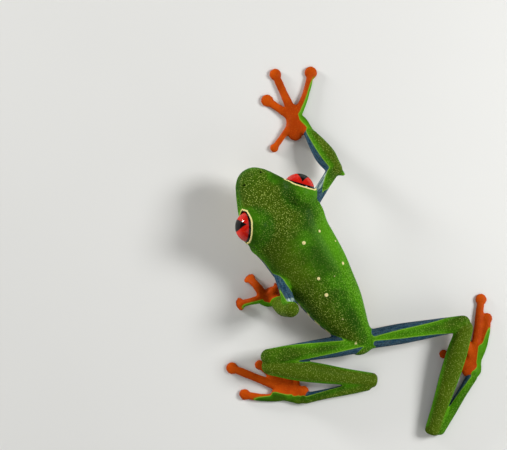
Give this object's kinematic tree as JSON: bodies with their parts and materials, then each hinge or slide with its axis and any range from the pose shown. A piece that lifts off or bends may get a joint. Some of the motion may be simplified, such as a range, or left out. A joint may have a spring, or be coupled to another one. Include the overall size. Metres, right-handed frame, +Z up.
{
  "type": "red-eyed tree frog",
  "caption": "Still, life-size red-eyed tree frog lying flat with its head raised, arms reaching and hind legs folded; orange hands and feet, red eyes.",
  "frame": {"origin": "centre of the small flat where the belly rests on the floor", "axes": "-Y ahead along the body towards the snout, +X to the frog's left, +Z up from the floor"},
  "size_m": [0.0668, 0.101, 0.0169],
  "materials": {
    "green_skin": "moist granular leaf-green skin, blue on the flanks and inner limbs, white below",
    "orange_skin": "smooth moist orange skin of hands and feet",
    "red_eye": "wet glossy red eye with a black upright pupil"
  },
  "bodies": {
    "root": {"head": "green_skin", "trunk": "green_skin", "eye_left": "red_eye", "ear_left": "green_skin", "eye_right": "red_eye", "ear_right": "green_skin", "upper_arm_left": "green_skin", "forearm_left": "green_skin", "hand_left": "orange_skin", "finger_left_1": "orange_skin", "finger_left_2": "orange_skin", "finger_left_3": "orange_skin", "finger_left_4": "orange_skin", "thigh_left": "green_skin", "shank_left": "green_skin", "tarsus_left": "green_skin", "foot_left": "orange_skin", "toe_left_1": "orange_skin", "toe_left_2": "orange_skin", "toe_left_3": "orange_skin", "toe_left_4": "orange_skin", "toe_left_5": "orange_skin", "upper_arm_right": "green_skin", "forearm_right": "green_skin", "hand_right": "orange_skin", "finger_right_1": "orange_skin", "finger_right_2": "orange_skin", "finger_right_3": "orange_skin", "finger_right_4": "orange_skin", "thigh_right": "green_skin", "shank_right": "green_skin", "tarsus_right": "green_skin", "foot_right": "orange_skin", "toe_right_1": "orange_skin", "toe_right_2": "orange_skin", "toe_right_3": "orange_skin", "toe_right_4": "orange_skin", "toe_right_5": "orange_skin"}
  },
  "joints": []
}
